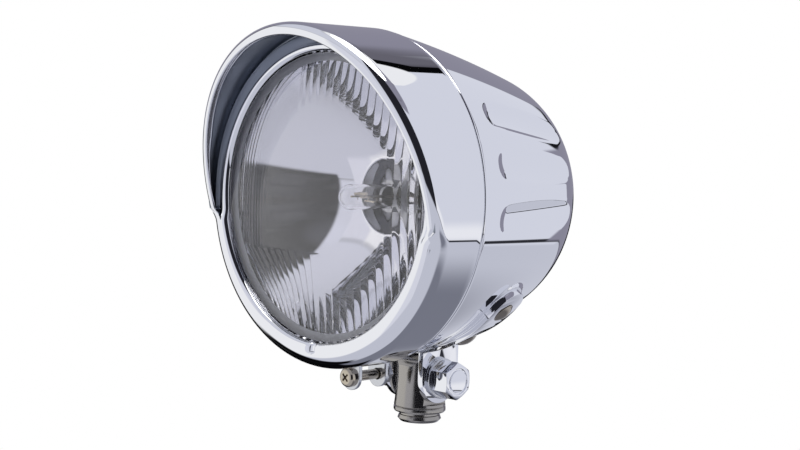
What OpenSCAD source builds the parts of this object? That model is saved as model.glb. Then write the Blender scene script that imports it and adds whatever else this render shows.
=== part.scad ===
// Chrome bullet headlight for a motorcycle: a turned shell with short flutes, a trim ring with a
// visor, a round lamp insert, and a bottom bracket that clasps the flats of a threaded stem.
// Millimetres, +Z up, lamp facing -Y. The origin is the mouth of the stem's threaded bore.

/* [Lamp position] */
// Height of the shell's strap seat above the pivot bolt
strap_rise = 14.4; // [13:0.2:20]
// Distance from the stem's axis forward to the lens opening
setback = 56; // [52:1:60]

/* [Trim ring] */
// Radius of the opening that shows the lens
opening_r = 54; // [48:0.5:58]
// How far the band stands out beyond the opening
band_extra = 10; // [9:0.5:13]
// Distance from the opening back to the seam with the shell
band_depth = 19.5; // [16:0.5:26]
// How far the rolled bezel stands forward of the opening
bezel_rise = 3.5; // [2:0.25:5]
// Wall of the pressed ring
ring_wall = 1.4; // [1:0.1:2]
// Thickness of the visor's lip
visor_lip = 3.8; // [2:0.1:5]
// Reach of the visor in front of the bezel, at the top
visor_reach = 18.5; // [8:0.5:26]
// How far below the lens axis the visor runs out into the bezel
visor_end = 10; // [0:1:20]

/* [Shell] */
// Length of the shell behind the seam
shell_len = 92; // [80:1:100]
// Wall of the cast shell
shell_wall = 2.4; // [2.2:0.1:3]
// Radius of the rounded tail corner
tail_r = 38; // [30:1:42]
// Number of flutes on each side
flute_count = 3; // [2:1:4]
// Angle between two flutes
flute_step = 14.5; // [13:0.5:20]
// Radius of the round-bottomed flutes
flute_r = 5.5; // [4:0.25:7]
// Depth of a flute at its ends
flute_depth = 1.0; // [0.5:0.1:1.2]

/* [Lamp insert] */
// Focal length of the reflector
focal = 21; // [18:0.5:24]
// Glass thickness of the lens
lens_wall = 3; // [2.5:0.25:4]
// Rise of the lens dome
lens_dome = 5; // [3:0.5:8]
// Radius of the bulb's glass
bulb_r = 5; // [4.5:0.25:9]
// Length of the bulb's glass in front of its flange
bulb_len = 36.5; // [32:0.5:42]

/* [Bracket] */
// Width of the strap and of the ears
strap_w = 20; // [18:0.5:22]
// Thickness of the strap and of the ears
strap_t = 2.5; // [2:0.1:3]
// Angle from the bottom to the middle of the strap's round end
strap_end = 45; // [42:1:52]
// Angle from the bottom to the lower rivets
rivet_low = 23; // [21:1:26]
// Radius of a rivet's head
rivet_r = 4.5; // [3.5:0.25:5]

/* [Stem] */
// Radius of the stem's post
post_r = 10; // [9:0.25:11]
// Height of the pivot bolt above the stem's foot
pivot_z = 18.5; // [17:0.5:21]
// Thickness of the tongue between the two ears
tongue_t = 16; // [12:0.5:17]
// Minor radius of the threaded bore
thread_r = 4.35; // [3.5:0.05:5]
// Depth of the threaded bore
thread_len = 11; // [8:0.5:12]

/* [Hardware] */
// Radius of the pivot bolt's shank
bolt_r = 4; // [3:0.25:4.5]
// Width across the flats of the bolt's head and of the nut
hex_af = 13; // [10:0.5:14]
// Height of the bolt's head
head_h = 8.4; // [5:0.1:9]
// Radius of the rim screw's shank
screw_r = 2; // [1.5:0.1:2.5]

/* [Hidden] */
$fn = 96;
eps = 0.01;
far = 200;

run_gap = 0.05;
face_gap = 0.15;
seat_gap = 0.3;
screw_gap = 0.2;

band_r = opening_r + band_extra;
visor_in_r = band_r - visor_lip;
visor_tilt = atan(visor_reach / (band_r + visor_end));

seam_gap = 0.4;
seam_y = band_depth + seam_gap;
shell_r = band_r - 0.3;
wall_angle = 9.75;
corner_angle = 16;
dome_angle = 70;
side_len = shell_len - tail_r * (sin(dome_angle) - sin(corner_angle)) - 5;
side_r = side_len / (sin(corner_angle) - sin(wall_angle));
corner_rr = shell_r - side_r * (cos(wall_angle) - cos(corner_angle));
dome_rr = corner_rr - tail_r * (cos(corner_angle) - cos(dome_angle));
corner_y = seam_y + side_len;
dome_y = corner_y + tail_r * (sin(dome_angle) - sin(corner_angle));
dome_r = dome_rr / cos(dome_angle);

lens_r = band_r - ring_wall - 2.2;
lens_y = 1.2;
vertex_y = lens_y + lens_wall + 2 + pow(opening_r, 2) / (4 * focal);
neck_r = 17;
neck_y = vertex_y - pow(neck_r, 2) / (4 * focal);
seal_back = lens_y + lens_wall + 3;

seat_y = neck_y + 9;
seat_bore_r = 13;
seat_rim = 0.6;
seat_back = seat_y + 2.9;
lug_r = 21.5;
seat_r = lug_r + 0.4 + seat_rim;
flange_y = seat_y + 1.5;
flange_r = 17;
flange_t = 1.2;
bulb_wall = 0.9;
barrel_r = 11;
barrel_end = flange_y + 9;
boot_in_r = seat_r + seat_gap;
boot_wall = 2.2;

strap_slope = 0.2;
pad_h = 0.8;
strap_in_r = side_radius(setback) + pad_h;
axis_z = pivot_z + strap_rise + strap_in_r;
strap_half = strap_w / 2;
rivet_shank_r = 2.4;

ear_in = tongue_t / 2 + face_gap;
ear_out = ear_in + strap_t;
washer_t = 1.6;
nut_h = 6.5;
lock_t = 2;

screw_z = -(band_r + 5);
rim_tab_t = 1.5;
rim_tab_y = band_depth - rim_tab_t - 0.6;
shell_tab_y = rim_tab_y + 14;
shell_tab_t = 2;
tab_r = 5;
grommet_y = setback + strap_half + 10;
grommet_bore_r = 5;

// Radius of the shell's side at a distance behind the opening
function side_radius(y) =
    shell_r - side_r * (cos(wall_angle) - cos(side_angle(y)));

// Angle of the shell's side at a distance behind the opening
function side_angle(y) = asin(sin(wall_angle) + (y - seam_y) / side_r);

// Angle of the shell's wall, on its side or on the tail's corner
function wall_slope(y) = y < corner_y ? side_angle(y)
    : asin(sin(corner_angle) + (y - corner_y) / tail_r);

// Radius of the shell's wall, on its side or on the tail's corner
function wall_radius(y) = y < corner_y ? side_radius(y)
    : corner_rr - tail_r * (cos(corner_angle) - cos(wall_slope(y)));

// Outline of the shell from the seam to the axis, moved inwards by d
function shell_line(d) = concat(
    [for (i = [0 : 12]) let (a = wall_angle + (corner_angle - wall_angle) * i / 12)
        [shell_r - d - side_r * (cos(wall_angle) - cos(a)),
         seam_y + side_r * (sin(a) - sin(wall_angle))]],
    [for (i = [1 : 14]) let (a = corner_angle + (dome_angle - corner_angle) * i / 14)
        [corner_rr - tail_r * cos(corner_angle) + (tail_r - d) * cos(a),
         corner_y - tail_r * sin(corner_angle) + (tail_r - d) * sin(a)]],
    [for (i = [1 : 8]) let (a = dome_angle + (90 - dome_angle) * i / 8)
        [(dome_r - d) * cos(a), dome_y - dome_r * sin(dome_angle) + (dome_r - d) * sin(a)]]);

// Points of a parabola with its vertex at the back, from radius a to radius b
function bowl_line(a, b, back) =
    [for (i = [0 : 20]) let (r = a + (b - a) * i / 20) [r, back - r * r / (4 * focal)]];

// Places children in the lamp's own frame: centre of the lens opening, Y backwards
module in_lamp() {
    translate([0, -setback, axis_z]) children();
}

// Turns a profile of [radius, distance back] round the lens axis
module turned() {
    in_lamp() rotate([-90, 0, 0]) rotate_extrude($fn = 180) children();
}

// A hexagonal prism across flats af, along +Z
module hex(af, h) {
    cylinder(r = af / 2 / cos(30), h = h, $fn = 6);
}

// A hexagonal prism with its top corners turned off by a 27 degree cone, along +Z
module turned_hex(af, h) {
    top_r = 0.48 * af;
    intersection() {
        hex(af, h);
        rotate_extrude() polygon([[0, 0], [af, 0], [af, h - (af - top_r) / 2], [top_r, h], [0, h]]);
    }
}

// Children on the strap's inner face at an angle from the bottom, with +Z pointing outwards
module on_strap(angle) {
    in_lamp() translate([0, setback, 0]) rotate([0, 180 + angle, 0])
        translate([0, 0, strap_in_r]) rotate([-atan(strap_slope), 0, 0]) children();
}

// Children on the shell's lowest line, with +Z pointing outwards
module under_side(y) {
    in_lamp() translate([0, y, -wall_radius(y)]) rotate([180 + wall_slope(y), 0, 0]) children();
}

// The cone-shaped layer that follows the shell under the strap, from radius offset a to b
module strap_layer(a, b, half) {
    polygon([[strap_in_r + a + strap_slope * half, setback - half],
             [strap_in_r + b + strap_slope * half, setback - half],
             [strap_in_r + b - strap_slope * half, setback + half],
             [strap_in_r + a - strap_slope * half, setback + half]]);
}

// The strap's outline: a curved band between two round ends, in a layer from a to b
module strap_shape(a, b, half) {
    intersection() {
        turned() strap_layer(a, b, half);
        union() {
            in_lamp() rotate([-90, 0, 0]) rotate([0, 0, 90 - strap_end])
                rotate_extrude(angle = 2 * strap_end, $fn = 180)
                    translate([strap_in_r / 2, 0]) square([strap_in_r, far / 2]);
            for (s = [-1, 1]) on_strap(s * strap_end)
                translate([0, 0, -strap_in_r / 2]) cylinder(r = half, h = strap_in_r);
        }
    }
}

// The four rivet holes through strap, pad and shell
module rivet_holes() {
    for (s = [-1, 1], a = [strap_end, rivet_low]) on_strap(s * a)
        translate([0, 0, -strap_in_r / 4]) cylinder(r = rivet_shank_r, h = strap_in_r / 2, $fn = 48);
}

// Pressed chrome ring: rolled bezel, plain band and the visor over the upper half
module trim_ring() {
    crown_r = opening_r + 5.5;
    color("gainsboro") difference() {
        union() {
            turned() polygon(concat(
                [[opening_r, lens_y], [opening_r, 0]],
                [for (a = [15 : 15 : 90]) [crown_r - 5.5 * cos(a), -bezel_rise * sin(a)]],
                [[band_r - 3, -bezel_rise]],
                [for (a = [15 : 15 : 90])
                    [band_r - 3 + 3 * sin(a), -bezel_rise + 3 - 3 * cos(a)]],
                [[band_r, band_depth], [band_r - ring_wall, band_depth]],
                [[band_r - ring_wall, lens_y], [band_r - ring_wall - 2, -bezel_rise + ring_wall]],
                [[crown_r, -bezel_rise + ring_wall], [opening_r + ring_wall, lens_y]]));
            difference() {
                turned() polygon([[visor_in_r, -far / 2], [band_r, -far / 2],
                    [band_r, -bezel_rise + 3], [band_r - ring_wall, -bezel_rise + 3],
                    [band_r - ring_wall - 2, -bezel_rise + ring_wall / 2],
                    [visor_in_r, -bezel_rise + ring_wall / 2]]);
                in_lamp() translate([0, -bezel_rise, -visor_end]) rotate([visor_tilt, 0, 0])
                    translate([-far, -2 * far, -far]) cube(2 * far);
            }
        }
        in_lamp() translate([0, -far / 2, -opening_r - 0.6]) rotate([-90, 0, 0])
            cylinder(r = 1.3, h = far / 2 + 1, $fn = 32);
    }
}

// A tab with a round foot and a screw hole, its top cut to the curve that it is welded to
module screw_tab(y, t) {
    difference() {
        in_lamp() translate([0, y, screw_z]) rotate([-90, 0, 0]) difference() {
            union() {
                cylinder(r = tab_r, h = t);
                translate([-tab_r, -far / 8, 0]) cube([2 * tab_r, far / 8, t]);
            }
            translate([0, 0, -1]) cylinder(r = screw_r + screw_gap, h = t + 2, $fn = 48);
        }
        children();
    }
}

// Front tab, welded under the ring's rear edge
module rim_tab() {
    color("silver") screw_tab(rim_tab_y, rim_tab_t)
        turned() square([band_r, band_depth]);
}

// Rear tab, welded under the shell
module shell_tab() {
    color("silver") screw_tab(shell_tab_y, shell_tab_t) turned() polygon(concat(
        [[0, seam_y]], shell_line(0)));
}

// Moulded glass: a flat rim and a shallow dome
module lens() {
    dome_w = opening_r - 3;
    cap_r = (pow(dome_w, 2) + pow(lens_dome, 2)) / (2 * lens_dome);
    color("aliceblue", 0.5) turned() polygon(concat(
        [[0, lens_y + lens_wall - lens_dome + eps]],
        [for (i = [0 : 12]) let (r = dome_w * i / 12)
            [r, lens_y + seat_gap - lens_dome + cap_r - sqrt(pow(cap_r, 2) - r * r)]],
        [[lens_r, lens_y + seat_gap], [lens_r, lens_y + lens_wall]],
        [[dome_w - 2, lens_y + lens_wall]],
        [for (i = [11 : -1 : 1]) let (r = (dome_w - 2) * i / 12)
            [r, lens_y + lens_wall - lens_dome + cap_r - sqrt(pow(cap_r, 2) - r * r)]]));
}

// Soft seal round the edge of the insert, under the ring's band
module lens_seal() {
    color("dimgray") turned() polygon([
        [lens_r + 0.1, lens_y + 0.6], [band_r - ring_wall - 0.1, lens_y + 0.6],
        [band_r - ring_wall - 0.1, seal_back], [lens_r + 0.1, seal_back]]);
}

// Polished bowl with a rim that carries the lens and a neck for the bulb
module reflector() {
    rim_y = lens_y + lens_wall + 0.1;
    bowl_r = opening_r - 1;
    color("whitesmoke") turned() polygon(concat(
        [[lens_r - 1, rim_y], [bowl_r, rim_y]],
        bowl_line(bowl_r, neck_r, vertex_y),
        [[neck_r, seat_y], [neck_r + 1, seat_y]],
        [for (p = bowl_line(neck_r + 1, bowl_r, vertex_y + 1.3)) p],
        [[bowl_r + 1, rim_y + 1], [lens_r - 1, rim_y + 1]]));
}

// Wire clips that press the insert into the ring, each a hairpin with two arms
module retaining_clips() {
    wire = 0.7;
    arm_x = 7;
    arm_len = 10;
    clip_y = seal_back + 0.1 + wire;
    clip_z = sqrt(pow(band_r - ring_wall - wire - seat_gap, 2) - pow(arm_x, 2));
    leg = clip_z - lens_r + 3;
    color("silver") for (a = [45 : 90 : 315]) in_lamp() rotate([0, a, 0])
        translate([0, clip_y, clip_z]) {
            translate([-arm_x, 0, 0]) rotate([0, 90, 0]) cylinder(r = wire, h = 2 * arm_x, $fn = 24);
            for (s = [-1, 1]) translate([s * arm_x, 0, 0]) {
                rotate([-90, 0, 0]) cylinder(r = wire, h = arm_len, $fn = 24);
                translate([0, 0, -leg]) cylinder(r = wire, h = leg, $fn = 24);
            }
        }
}

// Steel ring on the neck of the reflector that locates the bulb's flange
module bulb_seat() {
    color("silver") turned() polygon([
        [seat_bore_r, seat_y + 0.1], [seat_r, seat_y + 0.1], [seat_r, seat_back],
        [seat_r - seat_rim, seat_back], [seat_r - seat_rim, flange_y - 0.1],
        [seat_bore_r, flange_y - 0.1]]);
}

// Closed glass tube with a round tip, set in the bulb's base
module bulb_glass() {
    tip_y = flange_y - bulb_len;
    in_r = bulb_r - bulb_wall;
    color("lightcyan", 0.4) turned() polygon(concat(
        [for (a = [0 : 10 : 90]) [bulb_r * sin(a), tip_y + bulb_r - bulb_r * cos(a)]],
        [[bulb_r, flange_y - 1], [in_r, flange_y - 1]],
        [for (a = [90 : -10 : 0]) [in_r * sin(a), tip_y + bulb_r - in_r * cos(a)]]));
}

// Two support wires with the coil and the small shield between them
module filament_frame() {
    wire = 0.4;
    post_x = bulb_r - bulb_wall - 1.6;
    front_y = flange_y - bulb_len + bulb_r + 3;
    coil_z = 1.2;
    shield_z = -2.2;
    color("darkgray") in_lamp() {
        for (s = [-1, 1]) translate([s * post_x, 0, 0]) {
            translate([0, front_y, 0]) rotate([-90, 0, 0])
                cylinder(r = wire, h = flange_y - 1 - front_y, $fn = 24);
            translate([0, front_y + 3, 0]) cylinder(r = wire, h = coil_z + 0.4, $fn = 24);
            translate([0, front_y + 10, shield_z + 0.3]) cylinder(r = wire, h = 2, $fn = 24);
        }
        translate([-post_x - 0.5, front_y + 3, coil_z]) rotate([0, 90, 0])
            cylinder(r = 0.7, h = 2 * post_x + 1, $fn = 24);
        translate([-post_x - 0.4, front_y + 8, shield_z]) cube([2 * post_x + 0.8, 9, 0.6]);
        translate([-post_x - 0.6, flange_y - 2, -1.6]) cube([2 * post_x + 1.2, 1, 3.2]);
    }
}

// Metal base of the bulb: collar, flange with three lugs, and the barrel behind it
module bulb_base() {
    collar_r = bulb_r + 0.1;
    collar_len = 8;
    lug_w = 8;
    color("goldenrod") {
        turned() polygon([
            [collar_r, flange_y - collar_len], [collar_r + 1.5, flange_y - collar_len],
            [collar_r + 1.5, flange_y], [flange_r, flange_y], [flange_r, flange_y + flange_t],
            [barrel_r, flange_y + flange_t], [barrel_r, barrel_end], [0, barrel_end],
            [0, flange_y - 0.9], [collar_r, flange_y - 0.9]]);
        for (a = [0, 120, 240]) in_lamp() rotate([0, a, 0])
            translate([-lug_w / 2, flange_y, flange_r - 2])
                cube([lug_w, flange_t, lug_r - flange_r + 2]);
    }
}

// Three flat contact blades behind the base
module bulb_contacts() {
    blade_w = 8;
    blade_t = 0.8;
    blade_len = 9;
    color("silver") in_lamp() {
        for (x = [-6.5, 6.5]) translate([x - blade_t / 2, barrel_end, -blade_w / 2])
            cube([blade_t, blade_len, blade_w]);
        translate([-blade_w / 2, barrel_end, 6]) cube([blade_w, blade_len, blade_t]);
    }
}

// Spring wire that presses the flange into its seat
module bulb_clip() {
    wire = 0.7;
    half = 5;
    coil_r = barrel_r + 3;
    clip_y = seat_back + 0.1 + wire;
    bar_z = sqrt(pow(boot_in_r - wire - seat_gap, 2) - pow(half, 2));
    color("silver") {
        turned() translate([coil_r, clip_y]) circle(r = wire, $fn = 24);
        in_lamp() for (s = [-1, 1]) translate([s * half, clip_y, coil_r - 1])
            cylinder(r = wire, h = bar_z - coil_r + 1, $fn = 24);
        in_lamp() translate([-half, clip_y, bar_z]) rotate([0, 90, 0])
            cylinder(r = wire, h = 2 * half, $fn = 24);
    }
}

// Rubber boot over the back of the reflector
module bulb_boot() {
    back = barrel_end + 6;
    mouth_r = barrel_r + 1;
    color("#202020") turned() polygon([
        [boot_in_r, seat_y - 4], [boot_in_r + boot_wall, seat_y - 4],
        [boot_in_r + boot_wall, flange_y + 5], [mouth_r + 5, back], [mouth_r, back],
        [mouth_r, back - 2], [mouth_r + 4, back - 2], [boot_in_r, flange_y + 4]]);
}

// A round-nosed cutter of radius r, from the origin along +Z
module round_nosed(r, h) {
    rotate_extrude($fn = 48) polygon(concat(
        [for (a = [0 : 15 : 90]) [r * sin(a), -r * cos(a)]], [[r, h], [0, h]]));
}

// Cutter for one flute: it runs straight along the side and comes out at the tail's corner
module flute_cutter() {
    start_y = seam_y + 11;
    lift = flute_r - flute_depth;
    start_rr = side_radius(start_y) + lift;
    bend = atan((start_rr - corner_rr - lift) / (corner_y - start_y));
    translate([0, start_y, start_rr]) rotate([-90 - bend, 0, 0])
        round_nosed(flute_r, corner_y - start_y + tail_r);
}

// Cast bullet shell with the raised pad for the bracket and three flutes a side
module shell() {
    first = 90 - (flute_count - 1) * flute_step;
    color("gainsboro") difference() {
        union() {
            turned() polygon(concat([[0, seam_y]], shell_line(0)));
            strap_shape(-6, 0, strap_half + 1.5);
        }
        turned() polygon(concat([[0, seam_y - 1], [shell_r - shell_wall, seam_y - 1]],
            shell_line(shell_wall)));
        for (s = [-1, 1], i = [0 : flute_count - 1]) in_lamp()
            rotate([0, s * (first + i * flute_step), 0]) flute_cutter();
        rivet_holes();
        under_side(grommet_y) translate([0, 0, -far / 8]) cylinder(r = grommet_bore_r, h = far / 4);
    }
}

// Pan-head screw with a cross recess, along the lamp's axis
module rim_screw() {
    head_r = 3.8;
    rise = 2.8;
    color("tan") in_lamp() translate([0, rim_tab_y, screw_z]) rotate([-90, 0, 0]) difference() {
        union() {
            rotate_extrude() polygon(concat([[0, 0], [head_r, 0]],
                [for (a = [0 : 15 : 90]) [head_r - 1.6 + 1.6 * cos(a), -rise + 1.6 - 1.6 * sin(a)]],
                [[0, -rise]]));
            cylinder(r = screw_r, h = shell_tab_y - rim_tab_y + shell_tab_t + 5.5, $fn = 48);
        }
        for (a = [45, 135]) rotate([0, 0, a]) translate([-1.9, -0.4, -rise - 1]) cube([3.8, 0.8, 2.6]);
    }
}

// Nut behind the shell's tab
module rim_nut() {
    color("silver") in_lamp() translate([0, shell_tab_y + shell_tab_t, screw_z]) rotate([-90, 0, 0])
        difference() {
            hex(7, 3.2);
            translate([0, 0, -1]) cylinder(r = screw_r + eps, h = 6, $fn = 48);
        }
}

// Strap that hugs the shell's pad, with two ears down to the pivot
module mounting_bracket() {
    ear_top = axis_z - strap_in_r + 3;
    color("gainsboro") difference() {
        union() {
            strap_shape(0, strap_t, strap_half);
            difference() {
                for (s = [-1, 1]) translate([s * (ear_in + strap_t / 2), 0, pivot_z])
                    rotate([0, 90, 0]) translate([0, 0, -strap_t / 2]) {
                        cylinder(r = strap_half, h = strap_t);
                        translate([pivot_z - ear_top, -strap_half, 0])
                            cube([ear_top - pivot_z, strap_w, strap_t]);
                    }
                turned() strap_layer(-30, eps, strap_half + 1);
            }
        }
        translate([-far / 2, 0, pivot_z]) rotate([0, 90, 0])
            cylinder(r = bolt_r + run_gap, h = far);
        rivet_holes();
    }
}

// Low-domed rivets through strap, pad and shell
module bracket_rivets() {
    dome_h = 1.6;
    dome_rr = (pow(rivet_r, 2) + pow(dome_h, 2)) / (2 * dome_h);
    tail_z = -pad_h - shell_wall - 0.4;
    color("#c9c0ae") for (s = [-1, 1], a = [strap_end, rivet_low]) on_strap(s * a) {
        translate([0, 0, tail_z]) cylinder(r = rivet_shank_r, h = strap_t - tail_z + 0.5, $fn = 48);
        translate([0, 0, strap_t]) intersection() {
            cylinder(r = rivet_r + 1, h = dome_h + 1);
            translate([0, 0, dome_h - dome_rr]) sphere(r = dome_rr);
        }
        translate([0, 0, tail_z - 1.2]) cylinder(r = rivet_r - 1, h = 1.2, $fn = 48);
    }
}

// Tall hexagon bolt through ears and tongue, its face ringed by a shallow groove
module pivot_bolt() {
    head_x = ear_out + washer_t;
    nut_x = ear_out + washer_t + lock_t + nut_h;
    color("gainsboro") translate([0, 0, pivot_z]) rotate([0, 90, 0]) difference() {
        union() {
            translate([0, 0, head_x]) turned_hex(hex_af, head_h);
            translate([0, 0, -nut_x - 2]) cylinder(r = bolt_r, h = nut_x + 2 + head_x + 1);
        }
        translate([0, 0, head_x + head_h - 0.5]) difference() {
            cylinder(r = hex_af * 0.4, h = 1);
            translate([0, 0, -1]) cylinder(r = hex_af * 0.4 - 0.8, h = 3);
        }
    }
}

// Plain washers, one on each ear
module pivot_washers() {
    color("silver") for (x = [ear_out, -ear_out - washer_t]) translate([x, 0, pivot_z])
        rotate([0, 90, 0]) difference() {
            cylinder(r = bolt_r * 2, h = washer_t);
            translate([0, 0, -1]) cylinder(r = bolt_r + 0.2, h = washer_t + 2);
        }
}

// Split spring washer under the nut
module lock_washer() {
    color("silver") translate([-ear_out - washer_t - lock_t, 0, pivot_z]) rotate([0, 90, 0])
        difference() {
            cylinder(r = bolt_r + 3, h = lock_t);
            translate([0, 0, -1]) cylinder(r = bolt_r + 0.2, h = lock_t + 2);
            translate([0, -0.5, -1]) cube([far, 1, lock_t + 2]);
        }
}

// Nut on the far ear
module pivot_nut() {
    color("silver") translate([-ear_out - washer_t - lock_t, 0, pivot_z]) rotate([0, -90, 0])
        difference() {
            turned_hex(hex_af, nut_h);
            translate([0, 0, -1]) cylinder(r = bolt_r + eps, h = nut_h + 2);
        }
}

// Rubber grommet in the wire outlet under the tail
module wire_grommet() {
    hole_r = 3.2;
    groove_r = grommet_bore_r - 0.05;
    top = 0.4;
    bottom = -shell_wall - 0.7;
    color("#202020") under_side(grommet_y) rotate_extrude() polygon([
        [hole_r, bottom - 1.4], [groove_r + 1.5, bottom - 1.4], [groove_r + 1.5, bottom],
        [groove_r, bottom], [groove_r, top], [groove_r + 1.8, top], [groove_r + 1.4, top + 1.5],
        [hole_r, top + 1.5]]);
}

// Turned post: threaded bore at the foot, two flats and a round top that the ears clasp
module stem() {
    flat_z = pivot_z - strap_half - 1;
    color("#b8b4ad") difference() {
        intersection() {
            rotate_extrude() polygon([[0, 0], [7.6, 0], [8.7, 1.2], [8.2, 2.6], [7.8, 2.8], [7.8, 3.9],
                [post_r, 4], [post_r + 0.4, 4.6], [post_r + 0.4, 5.8], [post_r, 6.1],
                [post_r + 0.3, 6.5], [post_r, 9], [post_r - 0.3, 14], [post_r - 0.3, far],
                [0, far]]);
            union() {
                translate([-far / 2, -far / 2, 0]) cube([far, far, pivot_z]);
                translate([-far / 2, 0, pivot_z]) rotate([0, 90, 0]) cylinder(r = post_r, h = far);
            }
        }
        for (s = [-1, 1]) translate([s * (tongue_t / 2 + far / 2), 0, flat_z + far / 2])
            cube(far, center = true);
        translate([0, 0, -eps]) cylinder(r = thread_r, h = thread_len + eps);
        translate([-far / 2, 0, pivot_z]) rotate([0, 90, 0])
            cylinder(r = bolt_r + run_gap, h = far);
    }
}

trim_ring();
rim_tab();
lens();
lens_seal();
retaining_clips();
reflector();
bulb_seat();
bulb_glass();
filament_frame();
bulb_base();
bulb_contacts();
bulb_clip();
bulb_boot();
shell();
shell_tab();
rim_screw();
rim_nut();
mounting_bracket();
bracket_rivets();
pivot_bolt();
pivot_washers();
lock_washer();
pivot_nut();
wire_grommet();
stem();
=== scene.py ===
import math

import bmesh
import bpy
from bpy.props import FloatProperty, FloatVectorProperty, IntProperty, PointerProperty
from mathutils import Matrix, Vector


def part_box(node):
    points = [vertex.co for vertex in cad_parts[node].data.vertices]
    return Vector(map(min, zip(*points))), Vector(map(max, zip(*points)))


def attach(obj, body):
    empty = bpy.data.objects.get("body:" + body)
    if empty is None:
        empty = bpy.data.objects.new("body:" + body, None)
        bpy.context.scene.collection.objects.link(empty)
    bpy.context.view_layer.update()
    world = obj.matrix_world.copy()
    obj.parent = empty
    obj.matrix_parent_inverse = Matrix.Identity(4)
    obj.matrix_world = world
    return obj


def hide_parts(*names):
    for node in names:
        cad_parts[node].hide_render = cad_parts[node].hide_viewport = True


bl_info = {
    "name": "Chrome bullet headlight",
    "version": (1, 0, 0),
    "blender": (4, 5, 0),
    "location": "3D View > Sidebar > Headlight",
    "description": "Finished pieces, glass, chrome and studio for a bullet headlight",
    "category": "Object",
}

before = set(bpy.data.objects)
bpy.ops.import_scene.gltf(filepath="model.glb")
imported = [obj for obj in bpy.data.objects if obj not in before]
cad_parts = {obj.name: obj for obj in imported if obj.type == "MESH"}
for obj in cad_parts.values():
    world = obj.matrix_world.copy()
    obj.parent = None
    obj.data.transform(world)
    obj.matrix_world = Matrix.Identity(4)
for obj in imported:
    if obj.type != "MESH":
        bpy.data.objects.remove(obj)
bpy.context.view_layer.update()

MM = 0.001
LAMP = "lamp"
FOOT = "stem"
# The trim ring's band gives the lens axis, its own radius and the plane of the opening
RING_LOW, RING_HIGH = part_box("trim_ring")
AXIS_Z = (RING_LOW.z + RING_HIGH.z) / 2
BAND_R = (RING_HIGH.z - RING_LOW.z) / 2
BAND_DEPTH = 19.5 * MM
OPENING_Y = RING_HIGH.y - BAND_DEPTH
# Centre of the lens opening: the lamp's pieces are measured from it, with Y running backwards
CENTRE = Vector((0, OPENING_Y, AXIS_Z))


class RingSizes(bpy.types.PropertyGroup):
    """Sizes of the trim ring and its visor"""
    opening: FloatProperty(name="Opening radius", description="Radius of the lens opening",
                           default=BAND_R - 10 * MM, unit="LENGTH")
    rise: FloatProperty(name="Bezel rise", description="How far the bezel stands forward",
                        default=3.5 * MM, unit="LENGTH")
    lip: FloatProperty(name="Lip", description="Thickness of the visor's lip",
                       default=5.0 * MM, unit="LENGTH")
    end: FloatProperty(name="Visor end", description="How far below the axis the visor runs out",
                       default=12 * MM, unit="LENGTH")
    hem: FloatProperty(name="Hem", description="Radius of the band's rear edge",
                       default=0.7 * MM, unit="LENGTH")
    reach: FloatProperty(name="Reach", description="Reach of the visor at the top",
                         default=18.5 * MM, unit="LENGTH")
    steps: IntProperty(name="Steps", description="Facets round the ring", default=288, min=64)


class ShellSizes(bpy.types.PropertyGroup):
    """Sizes of the bullet shell"""
    wall: FloatProperty(name="Wall", description="Wall of the shell", default=2.4 * MM,
                        unit="LENGTH")
    flute_r: FloatProperty(name="Flute radius", description="Radius of a flute's bottom",
                           default=11 * MM, unit="LENGTH")
    flute_depth: FloatProperty(name="Flute depth", description="Depth of a flute at its ends",
                               default=1.15 * MM, unit="LENGTH")
    flute_step: FloatProperty(name="Flute step", description="Angle between two flutes",
                              default=math.radians(18.7), subtype="ANGLE")
    flutes: IntProperty(name="Flutes", description="Flutes on each side", default=3, min=1)
    steps: IntProperty(name="Steps", description="Facets round the shell", default=480, min=90)


class OpticSizes(bpy.types.PropertyGroup):
    """Sizes of the lens, the reflector and the bulb"""
    focal: FloatProperty(name="Focal length", description="Focal length of the reflector",
                         default=21 * MM, unit="LENGTH")
    glass: FloatProperty(name="Glass", description="Thickness of the lens", default=3 * MM,
                         unit="LENGTH")
    dome: FloatProperty(name="Dome", description="Rise of the lens dome", default=5 * MM,
                        unit="LENGTH")
    pitch: FloatProperty(name="Prism pitch", description="Distance between two lens flutes",
                         default=3.7 * MM, unit="LENGTH")
    fine_pitch: FloatProperty(name="Fine pitch", description="Distance of the fine side flutes",
                              default=1.9 * MM, unit="LENGTH")


class Finishes(bpy.types.PropertyGroup):
    """Colours of the finishes"""
    chrome: FloatVectorProperty(name="Chrome", description="Colour of the chrome plate",
                                subtype="COLOR", default=(0.80, 0.81, 0.85), min=0, max=1)
    steel: FloatVectorProperty(name="Steel", description="Colour of the turned stem",
                               subtype="COLOR", default=(0.36, 0.345, 0.325), min=0, max=1)
    nickel: FloatVectorProperty(name="Nickel", description="Colour of screw and rivets",
                                subtype="COLOR", default=(0.50, 0.45, 0.37), min=0, max=1)


def linear(code):
    """A colour written as an sRGB hex string, as linear red, green, blue and alpha."""
    parts = [int(code[i:i + 2], 16) / 255 for i in (1, 3, 5)]
    return [p / 12.92 if p <= 0.04045 else ((p + 0.055) / 1.055) ** 2.4 for p in parts] + [1.0]


def add(tree, kind, settings=None, links=None):
    """A new node with its settings, its socket values and its incoming links."""
    node = tree.nodes.new(kind)
    for key, value in (settings or {}).items():
        if hasattr(node, key) and key not in node.inputs:
            setattr(node, key, value)
        else:
            node.inputs[key].default_value = value
    for key, source in (links or {}).items():
        tree.links.new(source, node.inputs[key])
    return node


def new_material(name):
    """An empty node material and its output node."""
    material = bpy.data.materials.new(name)
    material.use_nodes = True
    material.node_tree.nodes.clear()
    out = material.node_tree.nodes.new("ShaderNodeOutputMaterial")
    return material, material.node_tree, out


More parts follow.
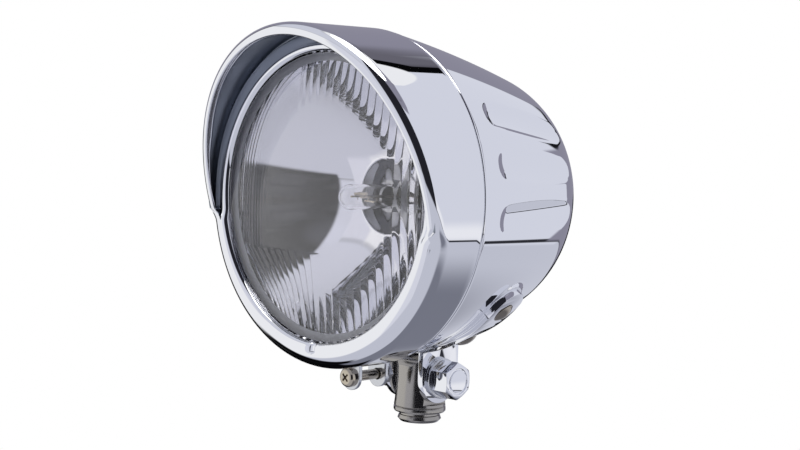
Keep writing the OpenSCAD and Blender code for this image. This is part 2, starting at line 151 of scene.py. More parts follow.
def object_coords(tree, scale):
    """Object coordinates divided by a real length, so that one unit is one repeat."""
    coord = add(tree, "ShaderNodeTexCoord")
    return add(tree, "ShaderNodeMapping", {"Scale": [1 / s for s in scale]},
               {"Vector": coord.outputs["Object"]}).outputs["Vector"]


def plated(name, colour, rough, haze_mm=18.0, grain=0.0):
    """Plated or polished metal, made once: nearly clear reflections with a faint polishing haze."""
    found = bpy.data.materials.get(name)
    if found:
        return found
    material, tree, out = new_material(name)
    haze = add(tree, "ShaderNodeTexNoise", {"Scale": 1.0, "Detail": 4.0},
               {"Vector": object_coords(tree, [haze_mm * MM] * 3)})
    spread = add(tree, "ShaderNodeMapRange", {"To Min": rough * 0.6, "To Max": rough * 1.5},
                 {"Value": haze.outputs["Fac"]})
    shader = add(tree, "ShaderNodeBsdfPrincipled",
                 {"Base Color": list(colour) + [1.0], "Metallic": 1.0},
                 {"Roughness": spread.outputs["Result"]})
    if grain:
        lines = add(tree, "ShaderNodeTexNoise", {"Scale": 1.0, "Detail": 2.0},
                    {"Vector": object_coords(tree, [30 * MM, 30 * MM, 0.5 * MM])})
        bump = add(tree, "ShaderNodeBump", {"Strength": grain, "Distance": 0.05 * MM},
                   {"Height": lines.outputs["Fac"]})
        tree.links.new(bump.outputs["Normal"], shader.inputs["Normal"])
    tree.links.new(shader.outputs[0], out.inputs[0])
    return material


def turn_full(bm, geom, steps):
    """Spins geometry a full turn round the lens axis: an eighth is spun, and then doubled thrice."""
    bmesh.ops.spin(bm, geom=geom, cent=(0, 0, 0), axis=(0, 1, 0), angle=math.pi / 4,
                   steps=steps // 8)
    for k in (1, 2, 4):
        copy = bmesh.ops.duplicate(bm, geom=bm.verts[:] + bm.edges[:] + bm.faces[:])["geom"]
        bmesh.ops.rotate(bm, verts=[v for v in copy if isinstance(v, bmesh.types.BMVert)],
                         cent=(0, 0, 0), matrix=Matrix.Rotation(k * math.pi / 4, 3, "Y"))
    bmesh.ops.remove_doubles(bm, verts=bm.verts, dist=1e-6)
    bmesh.ops.recalc_face_normals(bm, faces=bm.faces)


def lathe(bm, outline, steps, closed=True):
    """Spins an outline of (radius, distance behind the opening) round the lens axis."""
    order = bm.verts.layers.int.new("order")
    verts = [bm.verts.new((r, y, 0)) for r, y in outline]
    for i, v in enumerate(verts):
        v[order] = i
    pairs = list(zip(verts, verts[1:])) + ([(verts[-1], verts[0])] if closed else [])
    turn_full(bm, verts + [bm.edges.new(p) for p in pairs], steps)


def finish_piece(bm, name, material, body=LAMP, nodes=(), offset=CENTRE, sharp=35):
    """Turns a bmesh into a piece that rides on a body and stands for CAD nodes."""
    if offset:
        bmesh.ops.translate(bm, verts=bm.verts, vec=offset)
    mesh = bpy.data.meshes.new(name)
    bm.to_mesh(mesh)
    bm.free()
    for m in material if isinstance(material, (list, tuple)) else [material]:
        mesh.materials.append(m)
    mesh.shade_smooth()
    mesh.set_sharp_from_angle(angle=math.radians(sharp))
    obj = bpy.data.objects.new(name, mesh)
    bpy.context.scene.collection.objects.link(obj)
    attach(obj, body)
    if nodes:
        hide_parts(*nodes)
    return obj


def arc(cr, cy, radius, start, end, count):
    """Points on a circle in the (radius, y) plane, from angle start to end in degrees."""
    steps = [math.radians(start + (end - start) * i / count) for i in range(count + 1)]
    return [(cr + radius * math.cos(a), cy + radius * math.sin(a)) for a in steps]


def smooth(x):
    """Rises smoothly from 0 to 1 as x goes from 0 to 1."""
    x = min(max(x, 0.0), 1.0)
    return x * x * (3 - 2 * x)


def softened(node, material, body, width, segments=3):
    """A copy of a hard CAD solid with its sharp edges rounded as plating leaves them."""
    bm = bmesh.new()
    bm.from_mesh(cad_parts[node].data)
    bmesh.ops.remove_doubles(bm, verts=bm.verts, dist=2e-6)
    bmesh.ops.dissolve_limit(bm, angle_limit=math.radians(0.5), verts=bm.verts, edges=bm.edges)
    sharp = [e for e in bm.edges if e.is_manifold and e.calc_face_angle(0) > math.radians(32)]
    bmesh.ops.bevel(bm, geom=sharp, offset=width, offset_type="OFFSET", segments=segments,
                    profile=0.5, affect="EDGES", clamp_overlap=True, material=-1)
    return finish_piece(bm, node + "_piece", material, body, [node], offset=None, sharp=30)


# The frame brings a plain material for each slot under the slot's own name, so that none of
# the finishes takes such a name
def chrome_finish():
    """Bright chrome over polished nickel: a cool mirror with hardly any haze."""
    return plated("bright_chrome", bpy.context.scene.headlight_finishes.chrome, 0.012)


def hollow_shade_finish():
    """Thin, hazy plating in the hollow of the visor, where no polishing wheel reaches: a grey blur,
    its darker colour painted shade in the recess.
    """
    return plated("hollow_plate_painted_shade", linear("#8E949E")[:3], 0.30, haze_mm=12)


def steel_finish():
    """Turned and polished steel: warmer, with fine lathe marks round the post."""
    return plated("turned_steel", bpy.context.scene.headlight_finishes.steel, 0.2, grain=0.25)


def zinc_finish():
    """Zinc-plated steel: a pale satin metal."""
    return plated("zinc_plating", linear("#C9CBD0")[:3], 0.16, haze_mm=4)


def satin_finish():
    """Matt aluminium of the bulb's socket: it gathers light from all round."""
    return plated("satin_socket", linear("#DCDDE0")[:3], 0.45, haze_mm=3)


def nickel_finish():
    """Nickel plate: a warmer tint than chrome."""
    return plated("nickel_plate", bpy.context.scene.headlight_finishes.nickel, 0.12, haze_mm=5)


def socket_shade_finish():
    """Bare sheet of the bulb's seat, coloured dark as painted shade inside the bright neck."""
    return plated("socket_sheet_painted_shade", linear("#55565C")[:3], 0.22, haze_mm=4)


def spring_finish():
    """Oiled spring wire: darker drawn steel."""
    return plated("spring_wire", linear("#8C8E92")[:3], 0.25, haze_mm=3)


def mirror_finish():
    """Vacuum-coated aluminium under lacquer: the brightest mirror on the lamp."""
    return plated("aluminium_mirror", linear("#EDEEF2")[:3], 0.02, haze_mm=25)


def rubber_finish():
    """Moulded black rubber with a fine pebbled skin."""
    found = bpy.data.materials.get("pebbled_rubber")
    if found:
        return found
    material, tree, out = new_material("pebbled_rubber")
    grit = add(tree, "ShaderNodeTexNoise", {"Scale": 1.0, "Detail": 3.0},
               {"Vector": object_coords(tree, [0.6 * MM] * 3)})
    bump = add(tree, "ShaderNodeBump", {"Strength": 0.3, "Distance": 0.05 * MM},
               {"Height": grit.outputs["Fac"]})
    tone = add(tree, "ShaderNodeMapRange", {"To Min": 0.45, "To Max": 0.7},
               {"Value": grit.outputs["Fac"]})
    shader = add(tree, "ShaderNodeBsdfPrincipled", {"Base Color": linear("#1B1B1C")},
                 {"Roughness": tone.outputs["Result"], "Normal": bump.outputs["Normal"]})
    tree.links.new(shader.outputs[0], out.inputs[0])
    return material


def foam_finish():
    """Pale grey foam of the lens's seal: it shows as a soft light line through the glass."""
    material, tree, out = new_material("grey_foam")
    cells = add(tree, "ShaderNodeTexNoise", {"Scale": 1.0, "Detail": 2.0},
                {"Vector": object_coords(tree, [0.8 * MM] * 3)})
    tone = add(tree, "ShaderNodeMapRange", {"To Min": 0.8, "To Max": 0.95},
               {"Value": cells.outputs["Fac"]})
    shader = add(tree, "ShaderNodeBsdfPrincipled", {"Base Color": linear("#A4A6AE")},
                 {"Roughness": tone.outputs["Result"]})
    tree.links.new(shader.outputs[0], out.inputs[0])
    return material


def ground_finish():
    """Ground edge of the lens, where the glass is cut flat: pale and cloudy, not clear."""
    material, tree, out = new_material("ground_glass_edge")
    grit = add(tree, "ShaderNodeTexNoise", {"Scale": 1.0, "Detail": 2.0},
               {"Vector": object_coords(tree, [0.5 * MM] * 3)})
    tone = add(tree, "ShaderNodeMapRange", {"To Min": 0.5, "To Max": 0.8},
               {"Value": grit.outputs["Fac"]})
    shader = add(tree, "ShaderNodeBsdfPrincipled", {"Base Color": linear("#E8EAF0")},
                 {"Roughness": tone.outputs["Result"]})
    tree.links.new(shader.outputs[0], out.inputs[0])
    return material


def clear_glass(name, tint, normal=None):
    """Clear pressed glass; normal builds a bump inside the tree if the face is patterned."""
    material, tree, out = new_material(name)
    shader = add(tree, "ShaderNodeBsdfPrincipled",
                 {"Base Color": linear(tint), "Roughness": 0.0, "IOR": 1.5,
                  "Transmission Weight": 1.0})
    if normal:
        tree.links.new(normal(tree), shader.inputs["Normal"])
    tree.links.new(shader.outputs[0], out.inputs[0])
    return material


def prism_normal(tree):
    """The lens's moulded back: upright flutes that deepen to the rim, fine ones at its left,
    and a fan of them below a level step; the middle stays clear."""
    sizes = bpy.context.scene.headlight_optics
    coord = add(tree, "ShaderNodeTexCoord")
    xyz = add(tree, "ShaderNodeSeparateXYZ", {}, {"Vector": coord.outputs["Object"]})

    def calc(kind, a, b=0.0):
        node = add(tree, "ShaderNodeMath", {"operation": kind})
        for i, v in enumerate((a, b)):
            if isinstance(v, (int, float)):
                node.inputs[i].default_value = v
            else:
                tree.links.new(v, node.inputs[i])
        return node.outputs[0]

    def ramp(value, low, high):
        return add(tree, "ShaderNodeMapRange", {"From Min": low * MM, "From Max": high * MM},
                   {"Value": value}).outputs["Result"]

    def flutes(across, pitch):
        """Rounded ridges, 0 at their joints and 1 at their crests."""
        crest = calc("ABSOLUTE", calc("SINE", calc("MULTIPLY", across, math.pi / pitch)))
        return calc("POWER", crest, 0.45)

    x, z = xyz.outputs["X"], calc("SUBTRACT", xyz.outputs["Z"], AXIS_Z)
    radius = calc("SQRT", calc("ADD", calc("MULTIPLY", x, x), calc("MULTIPLY", z, z)))
    # The side flutes bend over to follow the rim above the middle
    tall = calc("MULTIPLY", calc("MAXIMUM", z, 0.0), 0.8)
    side = calc("SQRT", calc("ADD", calc("MULTIPLY", x, x), calc("MULTIPLY", tall, tall)))
    step_z = -21
    left = ramp(x, 0, -4)
    below = ramp(z, step_z, step_z - 0.3)
    above = ramp(z, step_z - 0.3, step_z)
    # Heights of the relief in millimetres
    rim_deep, fine_rim, fine_inner, fan_deep, step_deep = 0.34, 0.07, 0.02, 0.10, 0.10

    # Round flutes: hollow between sharp joints, and deeper to the rim
    turn = calc("FRACT", calc("MULTIPLY", x, 1 / sizes.pitch))
    share = calc("SUBTRACT", calc("MULTIPLY", turn, 2.0), 1.0)
    deep = calc("MULTIPLY", calc("MULTIPLY", ramp(radius, 34, 50), ramp(x, -16, -12)), rim_deep)
    rim = calc("MULTIPLY", calc("MULTIPLY", share, share), deep)

    fine = calc("MULTIPLY", flutes(side, sizes.fine_pitch), calc("MULTIPLY", left, above))
    fine = calc("MULTIPLY", fine, calc("ADD", calc("MULTIPLY", ramp(side, 39.6, 40), fine_rim),
                                       calc("MULTIPLY", ramp(side, 30, 40), fine_inner)))

    # The fan's ridges close up as they run down from the step, by 3% for each millimetre
    closing = -0.03 / MM
    narrow = calc("ADD", 1.0, calc("MULTIPLY", calc("SUBTRACT", z, step_z * MM), closing))
    fan = flutes(calc("MULTIPLY", x, narrow), 1.2 * sizes.pitch)
    fan = calc("MULTIPLY", fan, calc("MULTIPLY", left, below))
    fan = calc("MULTIPLY", fan, fan_deep)
    step = calc("MULTIPLY", ramp(z, step_z + 0.4, step_z - 0.1), ramp(x, 12, -2))
    step = calc("MULTIPLY", step, step_deep)

    height = calc("ADD", calc("ADD", rim, fine), calc("ADD", fan, step))
    bump = add(tree, "ShaderNodeBump", {"Strength": 1.0, "Distance": 1.0 * MM}, {"Height": height})
    return bump.outputs["Normal"]


# The trim ring's sheet, the plane behind its opening that it ends on, and the facets of its curves
SHEET = 1.4 * MM
SEAT_Y = 1.2 * MM
ROLL_FACETS = 12
CORNER_FACETS = 24
# One more point past each corner's arc keeps the band's shading flat
CORNER_END = 0.5 * MM


def bezel_line(s):
    """The ring without its visor: the points that the visor moves, and the rest of the section."""
    front = -s.rise
    bulge = 2.6 * MM
    corner = 6.8 * MM
    crown = s.opening + bulge
    corner_y = front + corner
    moved = [(s.opening, SEAT_Y)]
    moved += [(crown + r * bulge, (0.8 * y - 0.2) * s.rise)
              for r, y in arc(0, 0, 1.0, 180, 270, ROLL_FACETS)]
    moved += [(crown + (BAND_R - corner - crown) * i / 16, front) for i in range(1, 16)]
    moved += arc(BAND_R - corner, corner_y, corner, -90, 0, CORNER_FACETS)
    moved += [(BAND_R, corner_y + CORNER_END)]
    rest = [(BAND_R, corner_y + (BAND_DEPTH - corner_y) * i / 6) for i in range(1, 6)]
    rest += arc(BAND_R - s.hem, BAND_DEPTH - s.hem, s.hem, 0, 90, 6)
    rest += [(BAND_R - SHEET, BAND_DEPTH), (BAND_R - SHEET, SEAT_Y),
             (BAND_R - SHEET - 2 * MM, front + SHEET), (crown, front + SHEET),
             (s.opening + SHEET, SEAT_Y)]
    return moved, rest


def visor_line(s, pull):
    """The moved points where the visor stands out by pull: a roll, a valley and the rolled lip."""
    lip_y = -s.rise - pull
    wall_r = BAND_R - SHEET
    lip_r = BAND_R - s.lip
    fillet = 4.2 * MM
    bead = 0.7 * MM
    swell = 2.4 * MM
    crest = s.opening + swell
    valley_y = 0.4 * MM
    depth = min(5.0 * MM, 0.6 * pull)
    line = [(s.opening, SEAT_Y)]
    line += [(crest + r * swell, y * 2.2 * MM) for r, y in arc(0, 0, 1.0, 180, 315, ROLL_FACETS)]
    line += [(crest + 2.6 * MM, 0.6 * MM), (wall_r - 1.8 * MM, 1.2 * MM), (wall_r, valley_y)]
    line += [(wall_r, valley_y + (lip_y + depth - valley_y) * t) for t in (0.5, 1.0)]
    line += [(lip_r + (wall_r - lip_r) * (1 - math.sin(a)),
              lip_y + depth * (0.35 + 0.65 * math.cos(a)))
             for a in (math.radians(20 * i) for i in range(1, 5))]
    line += [(lip_r + bead - bead * math.cos(a), lip_y + bead * (1 - math.sin(a)))
             for a in (math.radians(15 * i) for i in range(6))]
    line += arc(BAND_R - fillet, lip_y + fillet, fillet, -90, 0, CORNER_FACETS)
    return line + [(BAND_R, lip_y + fillet + CORNER_END)]


class HEADLIGHT_OT_trim_ring(bpy.types.Operator):
    """Presses the bezel, the band and the visor from one sheet"""
    bl_idname = "headlight.trim_ring"
    bl_label = "Trim ring"

    def execute(self, context):
        s = context.scene.headlight_ring
        moved, rest = bezel_line(s)
        bm = bmesh.new()
        lathe(bm, moved + rest, s.steps)
        order = bm.verts.layers.int["order"]
        self.pull_visor(bm, s, order, len(moved))
        self.notch(bm, s)
        bmesh.ops.recalc_face_normals(bm, faces=bm.faces)
        # The valley and the visor's inner wall, down to where the visor runs out, take the hazy
        # plate whose darker colour is painted shade
        valley = ROLL_FACETS + 2
        hollow = range(valley, valley + 7)
        lowest = -8 * MM
        for f in bm.faces:
            shaded_hollow = all(v[order] in hollow for v in f.verts) and f.calc_center_median().z > lowest
            f.material_index = int(shaded_hollow)
        finish_piece(bm, "visored_trim_ring", [chrome_finish(), hollow_shade_finish()], LAMP,
                     ["trim_ring"], sharp=60)
        return {"FINISHED"}

    def pull_visor(self, bm, s, order, count):
        """Draws the first count points of each section out to the visor, further to the top."""
        tilt = s.reach / (BAND_R + s.end)
        for v in bm.verts:
            r = math.hypot(v.co.x, v.co.z)
            pull = tilt * (v.co.z / r * BAND_R + s.end)
            weight = smooth((pull + 0.5 * MM) / (1.5 * MM))
            if weight <= 0 or v[order] >= count:
                continue
            new_r, new_y = visor_line(s, max(pull, 0.0))[v[order]]
            share = (r + (new_r - r) * weight) / r
            v.co.x *= share
            v.co.z *= share
            v.co.y += (new_y - v.co.y) * weight

    def notch(self, bm, s):
        """Presses the small drain notch into the roll at the bottom."""
        half = 1.3 * MM
        deep = 1.6 * MM
        margin = 1 * MM
        end = s.opening + 3.2 * MM
        for v in bm.verts:
            if v.co.z > -s.opening + margin or v.co.y > margin or v.co.z < -end - half:
                continue
            beyond = max(-v.co.z - end, 0)
            inside = 1 - math.hypot(v.co.x, beyond) / half
            if inside > -0.6:
                v.co.y += deep * smooth(inside + 0.5)

# Steps of the shell's long side, up to where its tail's corner starts
SIDE_STEPS = 60


def bend(line, radius, end, steps):
    """Carries a line of (radius, y, angle) on round a circle until its face has turned to end."""
    r, y, start = line[-1]
    for i in range(1, steps + 1):
        a = start + (end - start) * i / steps
        line.append((max(r - radius * (math.cos(start) - math.cos(a)), 0),
                     y + radius * (math.sin(a) - math.sin(start)), a))


def shell_outline():
    """Outer line of the shell as (radius, y, angle by which its face looks backwards)."""
    wall_a, corner_a, dome_a = (math.radians(a) for a in (9.75, 16, 70))
    length = 92 * MM
    tail_r = 38 * MM
    dome_rise = 5 * MM
    side = length - tail_r * (math.sin(dome_a) - math.sin(corner_a)) - dome_rise
    line = [(BAND_R - 0.3 * MM, BAND_DEPTH + 0.4 * MM, wall_a)]
    bend(line, side / (math.sin(corner_a) - math.sin(wall_a)), corner_a, SIDE_STEPS)
    bend(line, tail_r, dome_a, 30)
    bend(line, line[-1][0] / math.cos(dome_a), math.pi / 2, 12)
    return line


class HEADLIGHT_OT_shell(bpy.types.Operator):
    """Casts the bullet shell with its flutes and the raised bracket pad"""
    bl_idname = "headlight.shell"
    bl_label = "Bullet shell"

    def execute(self, context):
        s = context.scene.headlight_shell
        points = shell_outline()
        outer = [(r, y) for r, y, a in points]
        inner = [(max(r - s.wall * math.cos(a), 0), y - s.wall * math.sin(a))
                 for r, y, a in points[::6] + points[-1:]]
        edge = 0.7 * MM
        lip = arc(outer[0][0] - edge, outer[0][1] + edge, edge, 0, -90, 6)
        outer = [p for p in outer if p[1] > lip[0][1] + 0.2 * MM]
        bm = bmesh.new()
        lathe(bm, outer[::-1] + lip + [(inner[0][0], lip[-1][1])] + inner[1:], s.steps, closed=False)
        order = bm.verts.layers.int["order"]
        flute_drop = self.flutes(s, points)
        pad_lift = self.pad(points)
        for v in bm.verts:
            r = math.hypot(v.co.x, v.co.z)
            if r < 1e-6 or v.co.y < points[0][1] or v[order] > len(outer):
                continue
            turn = abs(math.atan2(v.co.x, v.co.z))
            share = (r + pad_lift(r, v.co.y, turn) - flute_drop(r, v.co.y, turn)) / r
            v.co.x *= share
            v.co.z *= share
        finish_piece(bm, "bullet_shell", chrome_finish(), LAMP, ["shell"],
                     sharp=50)
        return {"FINISHED"}

    def flutes(self, s, points):
        """A function for the depth that the flutes cut at a point, turned from the top."""
        middles = [math.radians(94.5) - i * s.flute_step for i in range(s.flutes)]
        start_y = points[0][1] + 11 * MM
        start_r = next(r for r, y, a in points if y >= start_y)
        corner_r, corner_y, _ = points[SIDE_STEPS]
        slope = (start_r - corner_r) / (corner_y - start_y)
        half_width = math.sqrt(2 * s.flute_r * s.flute_depth)
        nose = 5 * MM
        soft = 0.12 * MM
        least = 0.02 * MM

        def flute_drop(r, y, turn):
            """The deepest cut of any flute; each narrows to nothing in its round nose."""
            bottom = start_r - s.flute_depth - slope * (y - start_y)
            short = min(y - start_y - nose, 0.0) * half_width / nose
            drop = 0.0
            for middle in middles:
                across = (turn - middle) * r
                inside = s.flute_r ** 2 - across ** 2 - short ** 2
                if abs(across) > 0.6 * s.flute_r or inside <= 0:
                    continue
                depth = r - bottom - s.flute_r + math.sqrt(inside)
                eased = soft * math.log1p(math.exp(min(depth / soft, 60)))
                if eased > least:
                    drop = max(drop, eased)
            return drop

        return flute_drop

    def pad(self, points):
        """A function for how far the pad under the bracket's strap stands out at a point."""
        strap_y = -OPENING_Y
        half_width = 11.5 * MM
        half_turn = math.radians(45)
        edge = 1.4 * MM
        pad_r = [r for r, y, a in points if y <= strap_y][-1] + 0.8 * MM

        def pad_lift(r, y, turn):
            """The rise at a point: full on the pad, and nothing past its rounded edge."""
            beyond = max(math.pi - turn - half_turn, 0) * r
            reach = half_width - math.hypot(y - strap_y, beyond)
            return smooth(reach / edge + 0.5) * max(pad_r - 0.2 * (y - strap_y) - r, 0)

        return pad_lift


class HEADLIGHT_OT_lens(bpy.types.Operator):
    """Moulds the lens: a flat rim, a smooth domed face and prisms behind it"""
    bl_idname = "headlight.lens"
    bl_label = "Lens"

    def execute(self, context):
        s = context.scene.headlight_optics
        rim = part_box("lens")[1].z - AXIS_Z
        front_y = 1.5 * MM
        back_y = 1.2 * MM + s.glass
        raised = -0.9 * MM
        round_r = 0.6 * MM
        chamfer = 0.3 * MM
        dome = context.scene.headlight_ring.opening - 0.9 * MM
        prisms = dome - 2.5 * MM

        def face(reach, y, rise, count=40):
            """A shallow cap that rises forwards from y at its edge."""
            ball = (reach ** 2 + rise ** 2) / (2 * rise)
            radii = [reach * i / count for i in range(count + 1)]
            return [(r, y - rise + ball - math.sqrt(ball ** 2 - r ** 2)) for r in radii]

        shoulder = arc(dome, raised + round_r, round_r, -75, 0, 5)
        outline = (face(dome, raised, s.dome - 2.4 * MM) + shoulder
                   + [(dome + 0.7 * MM, front_y), (rim - chamfer, front_y),
                      (rim, front_y + chamfer), (rim, back_y)]
                   + face(prisms, back_y, s.dome)[::-1])
        bm = bmesh.new()
        lathe(bm, outline, 192, closed=False)
        smooth_glass, prism_glass, ground_rim = 0, 1, 2
        for f in bm.faces:
            c = f.calc_center_median()
            f.material_index = smooth_glass
            if f.normal.y > 0.5:
                inside = math.hypot(c.x, c.z) < prisms - 0.1 * MM
                f.material_index = prism_glass if inside else ground_rim
        finish_piece(bm, "fluted_lens",
                     [clear_glass("pressed_glass", "#FDFCFE"),
                      clear_glass("prism_glass", "#FDFCFE", prism_normal), ground_finish()],
                     LAMP, ["lens"], sharp=40)
        return {"FINISHED"}


class HEADLIGHT_OT_optics(bpy.types.Operator):
    """Draws the mirror bowl with its neck, and blows the bulb"""
    bl_idname = "headlight.optics"
    bl_label = "Reflector and bulb"

    def execute(self, context):
        self.mirror(context)
        self.bulb()
        return {"FINISHED"}

    def mirror(self, context):
        """A parabola of coated sheet with a flat flange, and a round collar into its neck."""
        s = context.scene.headlight_optics
        low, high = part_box("reflector")
        rim = high.z - AXIS_Z
        rim_y = low.y - OPENING_Y
        seat = high.y - OPENING_Y
        sheet = 1 * MM
        bowl = context.scene.headlight_ring.opening - sheet
        neck = 15 * MM
        skirt = 1.9 * MM
        vertex = rim_y + skirt + (bowl + sheet) ** 2 / (4 * s.focal)
        radii = [bowl + (neck + 0.7 * MM - bowl) * i / 60 for i in range(61)]
        front = [(r, vertex - r * r / (4 * s.focal)) for r in radii]
        back = [(r + sheet, y + 0.6 * MM) for r, y in front]
        collar = arc(neck + sheet, front[-1][1] + 0.95 * MM, sheet, -108, -180, 8)
        outline = ([(rim, rim_y), (bowl, rim_y)] + front + collar
                   + [(neck, seat), (neck + sheet, seat)]
                   + back[::-1] + [(bowl + sheet, rim_y + sheet), (rim, rim_y + sheet)])
        bm = bmesh.new()
        lathe(bm, outline, 192)
        finish_piece(bm, "mirror_bowl", mirror_finish(), LAMP, ["reflector"])

    def bulb(self):
        """A round-ended tube of thin quartz glass."""
        low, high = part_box("bulb_glass")
        tip, end = low.y - OPENING_Y, high.y - OPENING_Y
        r = (high.z - low.z) / 2
        wall = 0.9 * MM

        def cap(radius, angles):
            """The round end as (radius, y) points, at angles from the tip in degrees."""
            return [(radius * math.sin(a), tip + r - radius * math.cos(a))
                    for a in (math.radians(angle) for angle in angles)]

        outline = (cap(r, range(0, 91, 6)) + [(r, end), (r - wall, end)]
                   + cap(r - wall, range(90, -1, -6)))
        bm = bmesh.new()
        lathe(bm, outline, 96, closed=False)
        finish_piece(bm, "bulb_envelope", clear_glass("quartz_glass", "#FFFFFF"), LAMP,
                     ["bulb_glass"])


class HEADLIGHT_OT_hardware(bpy.types.Operator):
    """Rounds the edges of the bracket, stem, bolt, tabs and screw"""
    bl_idname = "headlight.hardware"
    bl_label = "Bracket, stem and hardware"

    def execute(self, context):
        softened("mounting_bracket", chrome_finish(), LAMP, 0.45 * MM)
        softened("stem", steel_finish(), FOOT, 0.25 * MM)
        softened("pivot_bolt", chrome_finish(), LAMP, 0.25 * MM)
        softened("pivot_washers", zinc_finish(), LAMP, 0.2 * MM)
        softened("pivot_nut", zinc_finish(), LAMP, 0.2 * MM)
        softened("rim_tab", zinc_finish(), LAMP, 0.2 * MM)
        softened("shell_tab", zinc_finish(), LAMP, 0.2 * MM)
        softened("rim_screw", nickel_finish(), LAMP, 0.12 * MM, 2)
        softened("bracket_rivets", nickel_finish(), LAMP, 0.12 * MM, 2)
        return {"FINISHED"}


class HEADLIGHT_OT_finishes(bpy.types.Operator):
    """Gives the CAD pieces that stay their finishes"""
    bl_idname = "headlight.finishes"
    bl_label = "Finishes"

    def execute(self, context):
        looks = {
            "lens_seal": foam_finish, "bulb_boot": rubber_finish, "wire_grommet": rubber_finish,
            "retaining_clips": spring_finish, "bulb_clip": spring_finish,
            # The bulb's seat takes a dark colour that is painted shade
            "lock_washer": spring_finish, "bulb_seat": socket_shade_finish, "bulb_contacts": zinc_finish,
            "rim_nut": zinc_finish, "filament_frame": nickel_finish, "bulb_base": satin_finish,
        }
        for node, look in looks.items():
            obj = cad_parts[node]
            obj.data.materials.clear()
            obj.data.materials.append(look())
        return {"FINISHED"}


# The studio, painted on the sky by direction: name, azimuth from and to, elevation from and to,
# softness, colour. Azimuth 0 is behind the lamp (+Y) and 90 at its right (+X), in degrees.
CARDS = [
    ("table", -205, 205, -95, -16.2, 0.4, "#CDCFDA"),
    # Painted shadow: the table below and behind the lamp is darker, standing in for the lamp's own
    # shadow on it
    ("table_painted_shadow", -100, 100, -95, -31, 9, "#7E808C"),
    ("table_left_edge", -90, -42, -56, -2.5, 2, "#08080A"),
    ("right_wall", 0, 106, -17.0, 45, 0.5, "#E2E4EE"),
    ("right_glow", 27, 106, -18.5, -11, 3, "#FCFCFF"),
    ("table_right", 27, 106, -22.5, -18.2, 0.2, "#CDCFDA"),
    ("table_horizon", 27, 106, -18.6, -17.8, 0.2, "#303036"),
    ("table_horizon_back", -40, 27, -16.4, -15.4, 0.2, "#303036"),
    ("right_wall_far", -22, 1, 18.5, 41, 0.5, "#E2E4EE"),
    ("right_wall_top", -6, 106, 44.0, 52, 1.2, "#92909F"),
    ("back_left_wall", -84, -22, -2.5, 62, 0.6, "#92909F"),
    ("back_left_low", -23, 4, -16.0, 15, 0.6, "#92909F"),
    ("back_top_wall", -84, 106, 52, 66, 1.0, "#92909F"),
    ("back_top_edge", -30, -11, 38, 52, 4, "#6C6A74"),
    ("band_light", -6, 60, 38, 45.4, 0.3, "#E2E4EE"),
    ("dark_strip", -11.5, -6, 41.5, 60, 0.2, "#08080A"),
    ("patch_frame", -20, -6, 43.6, 60, 0.06, "#08080A"),
    ("white_patch", -16.5, 7, 44.6, 60, 0.06, "#FFFFFF"),
    ("front_left_wall", -205, -150, -34.0, 36, 3, "#E4E5EE"),
    ("left_window", -152, -90, -34.0, 36, 3, "#FFFFFF"),
    ("front_wall", 167, 205, -16.0, 66, 3, "#DADCE6"),
    ("front_left_top", -205, -86, 36, 66, 3, "#DADCE6"),
    ("table_left_front", -112, -88, -62, -24, 3, "#08080A"),
    ("camera_side", 107, 167, -19, 60, 1.5, "#25252B"),
    ("overhead_box", -205, 205, 66, 95, 2, "#FFFFFF"),
]


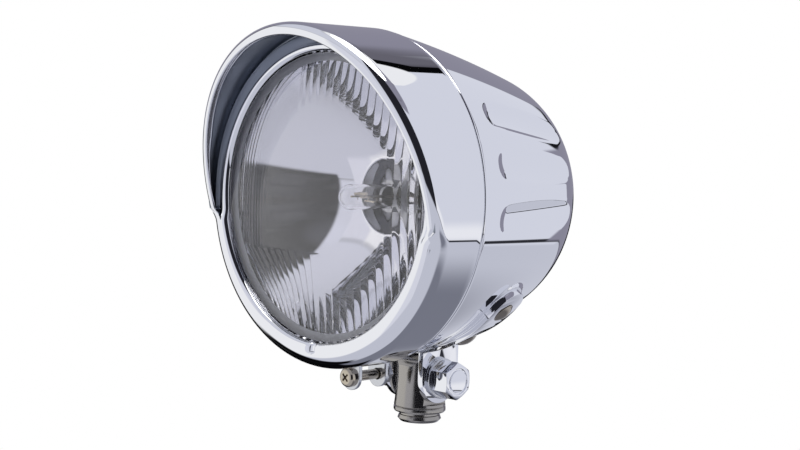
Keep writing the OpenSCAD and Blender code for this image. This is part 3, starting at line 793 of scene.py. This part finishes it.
class HEADLIGHT_OT_stage(bpy.types.Operator):
    """Sets the camera, the pale floor and the soft studio round the lamp"""
    bl_idname = "headlight.stage"
    bl_label = "Studio"

    def execute(self, context):
        self.camera(context)
        self.world(context)
        self.floor(context)
        light = bpy.data.lights.new("soft_box", "AREA")
        light.shape = "DISK"
        light.size = 0.8
        light.energy = 6
        lamp = bpy.data.objects.new("soft_box", light)
        lamp.location = (0.1, -0.1, 1.1)
        context.scene.collection.objects.link(lamp)
        context.scene.view_settings.view_transform = "Standard"
        return {"FINISHED"}

    def camera(self, context):
        """The photograph's viewpoint, found from the ellipses of the opening and the seam."""
        azimuth, elevation, roll = (math.radians(a) for a in (45.0, 4.15, 2.0))
        distance, shift_right, shift_up, focal_px, width_px = 0.6, 28.9 * MM, -10.2 * MM, 1614, 800
        back = Vector((math.sin(azimuth) * math.cos(elevation),
                       -math.cos(azimuth) * math.cos(elevation), math.sin(elevation)))
        right = Vector((math.cos(azimuth), math.sin(azimuth), 0))
        up = back.cross(right)
        right, up = (right * math.cos(roll) + up * math.sin(roll),
                     up * math.cos(roll) - right * math.sin(roll))
        data = bpy.data.cameras.new("photo_view")
        data.sensor_width = 36
        data.lens = focal_px / width_px * data.sensor_width
        camera = bpy.data.objects.new("photo_view", data)
        place = CENTRE + right * shift_right + up * shift_up + back * distance
        camera.matrix_world = Matrix((
            (right.x, up.x, back.x, place.x), (right.y, up.y, back.y, place.y),
            (right.z, up.z, back.z, place.z), (0, 0, 0, 1)))
        context.scene.collection.objects.link(camera)
        context.scene.camera = camera

    def world(self, context):
        """Soft cards painted on the sky by direction; the camera itself sees plain white."""
        world = bpy.data.worlds.new("studio")
        context.scene.world = world
        world.use_nodes = True
        tree = world.node_tree
        tree.nodes.clear()
        coord = add(tree, "ShaderNodeTexCoord")
        xyz = add(tree, "ShaderNodeSeparateXYZ", {}, {"Vector": coord.outputs["Generated"]})
        turn = add(tree, "ShaderNodeMath", {"operation": "ARCTAN2"},
                   {0: xyz.outputs["X"], 1: xyz.outputs["Y"]})
        rise = add(tree, "ShaderNodeMath", {"operation": "ARCSINE"}, {0: xyz.outputs["Z"]})
        colour = add(tree, "ShaderNodeRGB")
        colour.outputs[0].default_value = linear("#1A1A1E")
        colour = colour.outputs[0]
        for name, a0, a1, e0, e1, soft, code in CARDS:
            mask = None
            for source, edge, sign in ((turn, a0, 1), (turn, a1, -1), (rise, e0, 1), (rise, e1, -1)):
                low, high = (math.radians(edge - k * soft * sign) for k in (1, -1))
                part = add(tree, "ShaderNodeMapRange",
                           {"interpolation_type": "SMOOTHSTEP", "From Min": low, "From Max": high},
                           {"Value": source.outputs[0]}).outputs["Result"]
                mask = part if mask is None else add(
                    tree, "ShaderNodeMath", {"operation": "MULTIPLY"}, {0: mask, 1: part}).outputs[0]
            mix = add(tree, "ShaderNodeMix", {"data_type": "RGBA"}, {0: mask, 6: colour})
            mix.inputs[7].default_value = linear(code)
            mix.label = name
            colour = mix.outputs[2]
        path = add(tree, "ShaderNodeLightPath")
        studio = add(tree, "ShaderNodeBackground", {"Strength": 1.0}, {"Color": colour})
        white = add(tree, "ShaderNodeBackground", {"Color": (1, 1, 1, 1), "Strength": 1.0})
        both = add(tree, "ShaderNodeMixShader", {}, {
            0: path.outputs["Is Camera Ray"], 1: studio.outputs[0], 2: white.outputs[0]})
        add(tree, "ShaderNodeOutputWorld", {}, {"Surface": both.outputs[0]})

    def floor(self, context):
        """A large pale floor under the stem's foot."""
        bm = bmesh.new()
        bmesh.ops.create_circle(bm, cap_ends=True, segments=96, radius=4.0,
                                matrix=Matrix.Translation((0, 0, -0.0005)))
        mesh = bpy.data.meshes.new("floor")
        bm.to_mesh(mesh)
        bm.free()
        material, tree, out = new_material("pale_floor")
        mesh.materials.append(material)
        path = add(tree, "ShaderNodeLightPath")
        paint = add(tree, "ShaderNodeBsdfDiffuse", {"Color": linear("#C9CBD2")})
        white = add(tree, "ShaderNodeEmission", {"Color": (1, 1, 1, 1), "Strength": 1.0})
        both = add(tree, "ShaderNodeMixShader", {}, {
            0: path.outputs["Is Camera Ray"], 1: paint.outputs[0], 2: white.outputs[0]})
        tree.links.new(both.outputs[0], out.inputs[0])
        obj = bpy.data.objects.new("floor", mesh)
        context.scene.collection.objects.link(obj)
        obj.visible_glossy = False
        obj.visible_transmission = False


class HEADLIGHT_PT_panel(bpy.types.Panel):
    """Lists the headlight's pieces and sizes"""
    bl_label = "Headlight"
    bl_idname = "HEADLIGHT_PT_panel"
    bl_space_type = "VIEW_3D"
    bl_region_type = "UI"
    bl_category = "Headlight"

    def draw(self, context):
        layout = self.layout
        for group in ("headlight_ring", "headlight_shell", "headlight_optics", "headlight_finishes"):
            owner = getattr(context.scene, group)
            for name in owner.bl_rna.properties.keys():
                if name not in ("rna_type", "name"):
                    layout.prop(owner, name)
        for operator in OPERATORS:
            layout.operator(operator.bl_idname)


GROUPS = [("headlight_ring", RingSizes), ("headlight_shell", ShellSizes),
          ("headlight_optics", OpticSizes), ("headlight_finishes", Finishes)]
OPERATORS = [HEADLIGHT_OT_stage, HEADLIGHT_OT_trim_ring, HEADLIGHT_OT_shell, HEADLIGHT_OT_lens,
             HEADLIGHT_OT_optics, HEADLIGHT_OT_hardware, HEADLIGHT_OT_finishes]


def register():
    for name, group in GROUPS:
        bpy.utils.register_class(group)
        setattr(bpy.types.Scene, name, PointerProperty(type=group))
    for operator in OPERATORS:
        bpy.utils.register_class(operator)
    bpy.utils.register_class(HEADLIGHT_PT_panel)


def unregister():
    bpy.utils.unregister_class(HEADLIGHT_PT_panel)
    for operator in reversed(OPERATORS):
        bpy.utils.unregister_class(operator)
    for name, group in reversed(GROUPS):
        delattr(bpy.types.Scene, name)
        bpy.utils.unregister_class(group)


def main():
    register()
    for operator in OPERATORS:
        group, name = operator.bl_idname.split(".")
        getattr(getattr(bpy.ops, group), name)()


if __name__ == "__main__":
    main()
